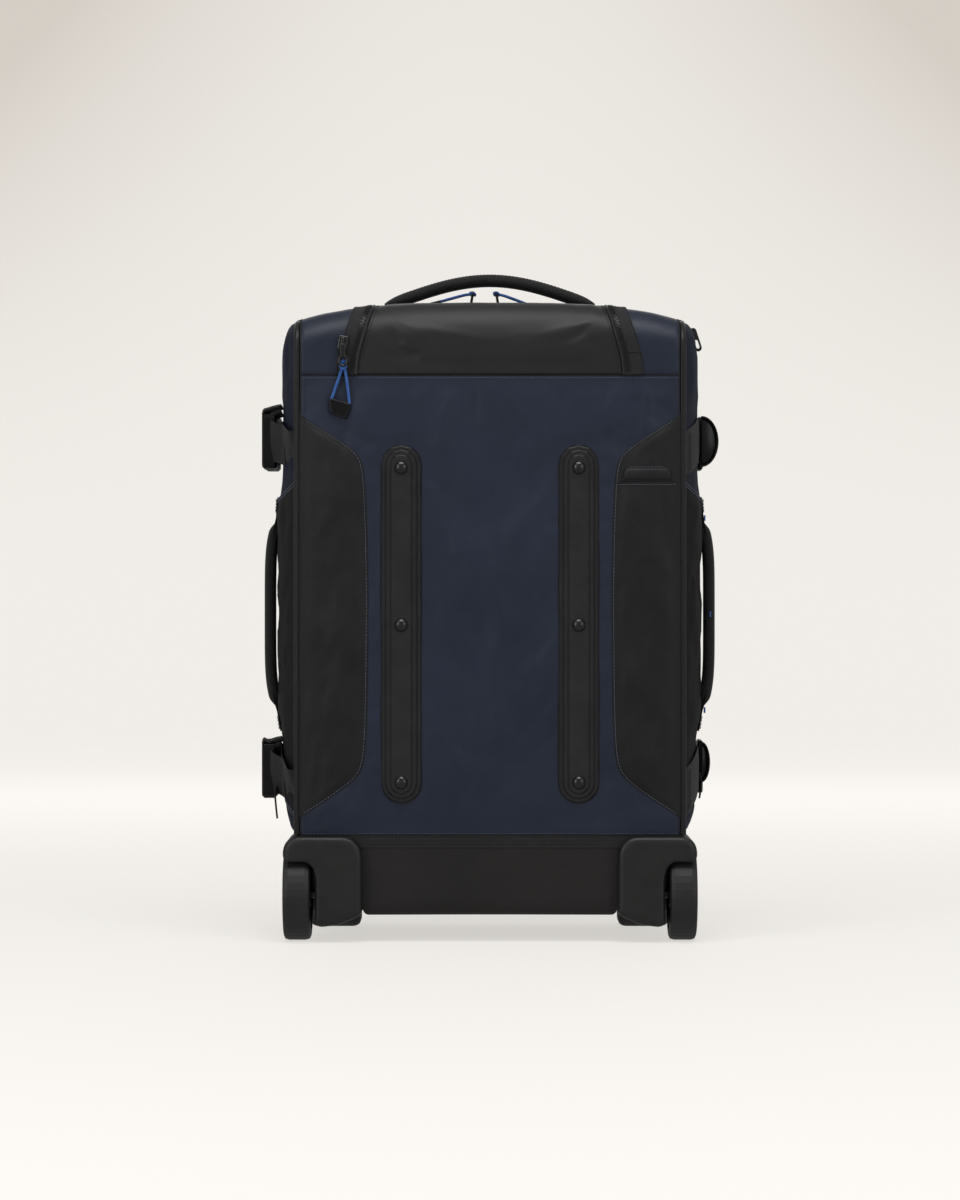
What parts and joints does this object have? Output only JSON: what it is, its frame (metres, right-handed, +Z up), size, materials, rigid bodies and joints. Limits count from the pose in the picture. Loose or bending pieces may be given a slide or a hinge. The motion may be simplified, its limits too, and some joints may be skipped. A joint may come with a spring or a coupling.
{
  "type": "rolling duffel bag",
  "caption": "Upright cabin duffel on wheels with a telescopic trolley handle under a zip-open cover, skid rails on its back, a hinged lid, side compression straps and carry handles.",
  "frame": {"origin": "on the floor, at the centre of the bounding box's base", "axes": "+Z up with the bag standing on its wheels and feet, +X towards the bag's right side as seen from its back, +Y towards the lid; the back with the rails and wheels faces -Y"},
  "size_m": [0.3999, 0.23, 0.584],
  "materials": {
    "navy_fabric": "coated, low sheen",
    "black_fabric": "coated, low sheen",
    "webbing": "woven, matt",
    "cord": "braided, satin",
    "plastic": "satin",
    "rubber": "satin",
    "aluminium": "anodised",
    "steel": "black oxide, glossy"
  },
  "bodies": {
    "bag": {"back_panel": "navy_fabric", "top_panel": "navy_fabric", "front_frame": "navy_fabric", "side_panel_left": "black_fabric", "side_panel_right": "black_fabric", "base_tray": "black_fabric", "frame_board": "plastic", "handle_recess": "plastic", "skid_rail_left": "plastic", "skid_rail_right": "plastic", "rail_screw_left_1": "steel", "rail_screw_left_2": "steel", "rail_screw_left_3": "steel", "rail_screw_right_1": "steel", "rail_screw_right_2": "steel", "rail_screw_right_3": "steel", "wheel_housing_left": "plastic", "wheel_housing_right": "plastic", "axle_left": "steel", "axle_right": "steel", "foot_left": "rubber", "foot_right": "rubber", "outer_tube_left": "aluminium", "outer_tube_right": "aluminium", "strap_left_upper": "webbing", "strap_left_lower": "webbing", "strap_right_upper": "webbing", "strap_right_lower": "webbing", "strap_loop_upper": "webbing", "strap_loop_lower": "webbing", "ladder_lock_upper": "plastic", "ladder_lock_lower": "plastic", "buckle_socket_upper": "plastic", "buckle_socket_lower": "plastic", "side_handle_left": "webbing", "side_handle_right": "webbing"},
    "wheel_left": {"tyre_left": "rubber", "wheel_hub_left": "plastic"},
    "wheel_right": {"tyre_right": "rubber", "wheel_hub_right": "plastic"},
    "trolley_middle": {"middle_tube_left": "aluminium", "middle_tube_right": "aluminium"},
    "trolley_inner": {"inner_tube_left": "aluminium", "inner_tube_right": "aluminium", "grip": "plastic"},
    "release": {"release_button": "plastic", "release_yoke": "steel"},
    "cover": {"handle_cover": "black_fabric"},
    "lid": {"lid": "navy_fabric"},
    "carry_handle": {"top_handle": "webbing"},
    "cover_slider": {"cover_slider": "steel"},
    "cover_pull": {"cover_pull": "steel", "cover_tag": "cord"},
    "main_slider_left": {"main_slider_left": "steel"},
    "main_slider_right": {"main_slider_right": "steel"},
    "main_pull_left": {"main_pull_left": "steel"},
    "main_pull_right": {"main_pull_right": "steel"},
    "clip_upper": {"buckle_clip_upper": "plastic"},
    "clip_lower": {"buckle_clip_lower": "plastic"},
    "side_pull": {"side_pull": "steel"}
  },
  "joints": [
    {"name": "wheel_left_spin", "type": "hinge", "parent": "bag", "child": "wheel_left", "pos_m": [-0.167, -0.075, 0.04], "axis": [1, 0, 0], "continuous": true},
    {"name": "wheel_right_spin", "type": "hinge", "parent": "bag", "child": "wheel_right", "pos_m": [0.167, -0.075, 0.04], "axis": [1, 0, 0], "continuous": true},
    {"name": "trolley_extend", "type": "slide", "parent": "bag", "child": "trolley_middle", "axis": [0, 0, 1], "range_m": [0, 0.27]},
    {"name": "inner_stage_extend", "type": "slide", "parent": "trolley_middle", "child": "trolley_inner", "axis": [0, 0, 1], "range_m": [0, 0.27]},
    {"name": "release_press", "type": "slide", "parent": "trolley_inner", "child": "release", "axis": [0, 0, -1], "range_m": [0, 0.003], "stiffness_N_per_m": 600, "springref_m": -0.002},
    {"name": "cover_open", "type": "hinge", "parent": "bag", "child": "cover", "pos_m": [0, -0.0975, 0.4897], "axis": [1, 0, 0], "range_deg": [0, 165], "deforming": ["handle_cover"]},
    {"name": "lid_open", "type": "hinge", "parent": "bag", "child": "lid", "pos_m": [0, 0.1, 0.13], "axis": [-1, 0, 0], "range_deg": [0, 100]},
    {"name": "carry_handle_sway", "type": "hinge", "parent": "bag", "child": "carry_handle", "pos_m": [0, 0, 0.558], "axis": [1, 0, 0], "range_deg": [-12, 12], "stiffness_Nm_per_rad": 0.5},
    {"name": "cover_slider_run", "type": "slide", "parent": "bag", "child": "cover_slider", "axis": [0.3303, 0, 0.9439], "range_m": [-0.02, 0.005]},
    {"name": "cover_pull_swing", "type": "hinge", "parent": "cover_slider", "child": "cover_pull", "pos_m": [-0.1265, -0.1051, 0.5162], "axis": [-1, 0, 0], "range_deg": [0, 120]},
    {"name": "main_slider_left_run", "type": "slide", "parent": "bag", "child": "main_slider_left", "axis": [-1, 0, 0], "range_m": [0, 0.065]},
    {"name": "main_slider_right_run", "type": "slide", "parent": "bag", "child": "main_slider_right", "axis": [1, 0, 0], "range_m": [0, 0.07]},
    {"name": "main_pull_left_lift", "type": "hinge", "parent": "main_slider_left", "child": "main_pull_left", "pos_m": [-0.0172, 0.049, 0.5584], "axis": [0, 1, 0], "range_deg": [0, 80]},
    {"name": "main_pull_right_lift", "type": "hinge", "parent": "main_slider_right", "child": "main_pull_right", "pos_m": [0.0082, 0.049, 0.5584], "axis": [0, -1, 0], "range_deg": [0, 80]},
    {"name": "clip_upper_unclip", "type": "slide", "parent": "bag", "child": "clip_upper", "axis": [0, 1, 0], "range_m": [0, 0.034]},
    {"name": "clip_lower_unclip", "type": "slide", "parent": "bag", "child": "clip_lower", "axis": [0, 1, 0], "range_m": [0, 0.034]},
    {"name": "side_pull_swing", "type": "hinge", "parent": "bag", "child": "side_pull", "pos_m": [0.1786, -0.025, 0.5338], "axis": [0, -1, 0], "range_deg": [0, 90]}
  ],
  "couplings": [
    {"joint": "inner_stage_extend", "follows": "trolley_extend", "ratio": 1},
    {"joint": "cover_open", "follows": "trolley_extend", "rad_per_m": 10.66}
  ]
}
